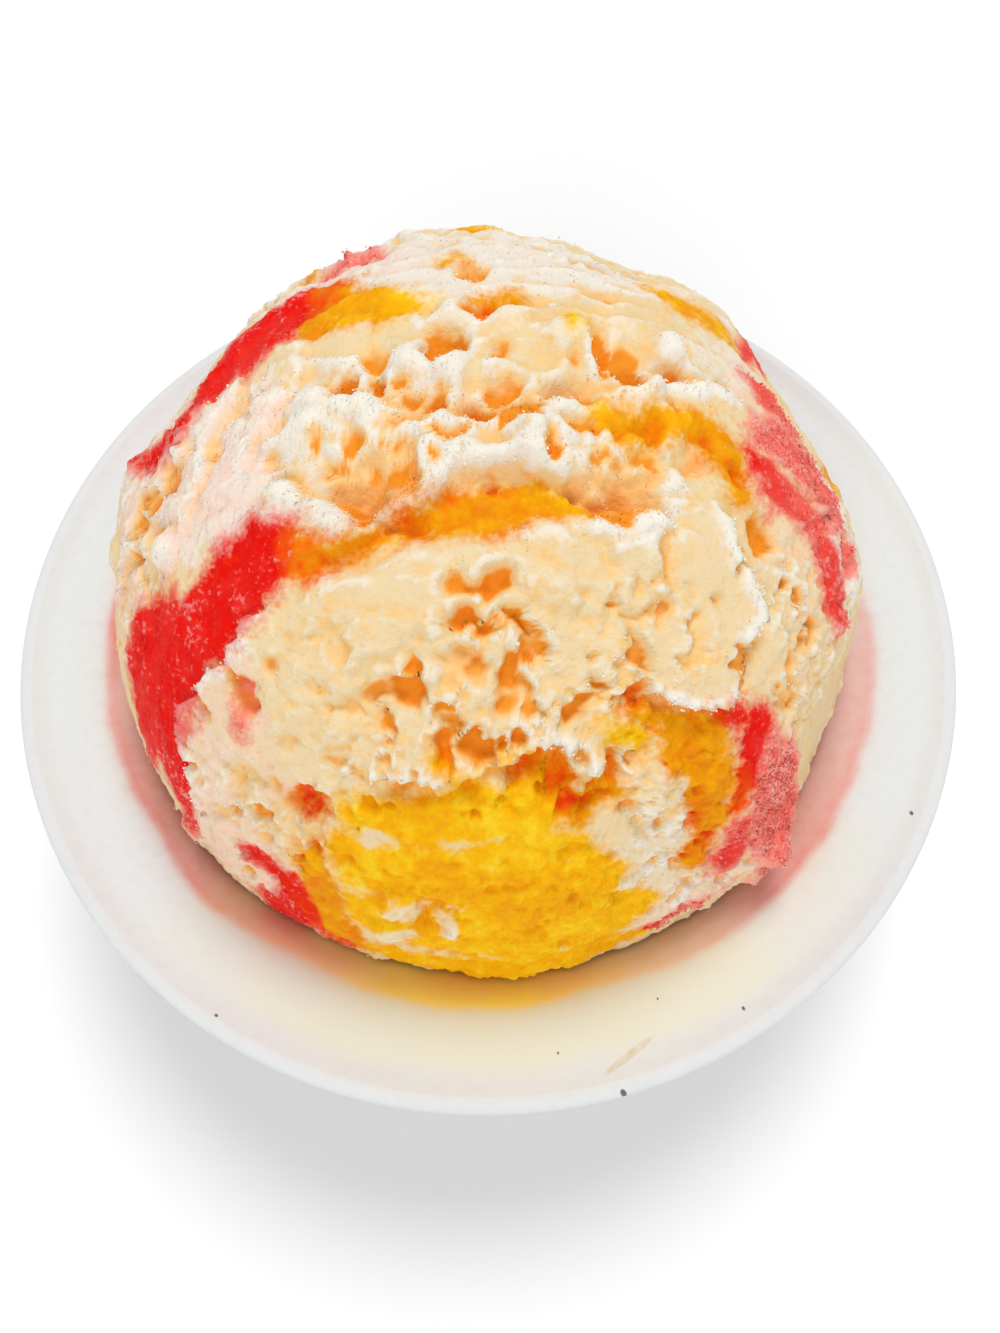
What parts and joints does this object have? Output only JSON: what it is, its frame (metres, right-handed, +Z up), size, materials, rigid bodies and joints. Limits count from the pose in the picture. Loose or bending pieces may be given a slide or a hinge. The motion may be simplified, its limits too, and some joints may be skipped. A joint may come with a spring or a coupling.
{
  "type": "shaved ice dessert",
  "caption": "Packed ball of cream-coloured shaved ice with red, orange and yellow syrup streaks, seated in a wide-rimmed moulded fibre bowl.",
  "frame": {"origin": "centre of the bowl's underside, on the surface that it stands on", "axes": "+Z up; -Y is the front of the dessert, which faces the viewer; +X is to the viewer's right"},
  "size_m": [0.156, 0.156, 0.1044],
  "materials": {
    "pressed_fibre": "matt moulded plant fibre, stained by syrup inside the rim",
    "cream_ice": "frosty, scraped, with syrup streaks"
  },
  "bodies": {
    "root": {"bowl": "pressed_fibre", "ice": "cream_ice"}
  },
  "joints": []
}
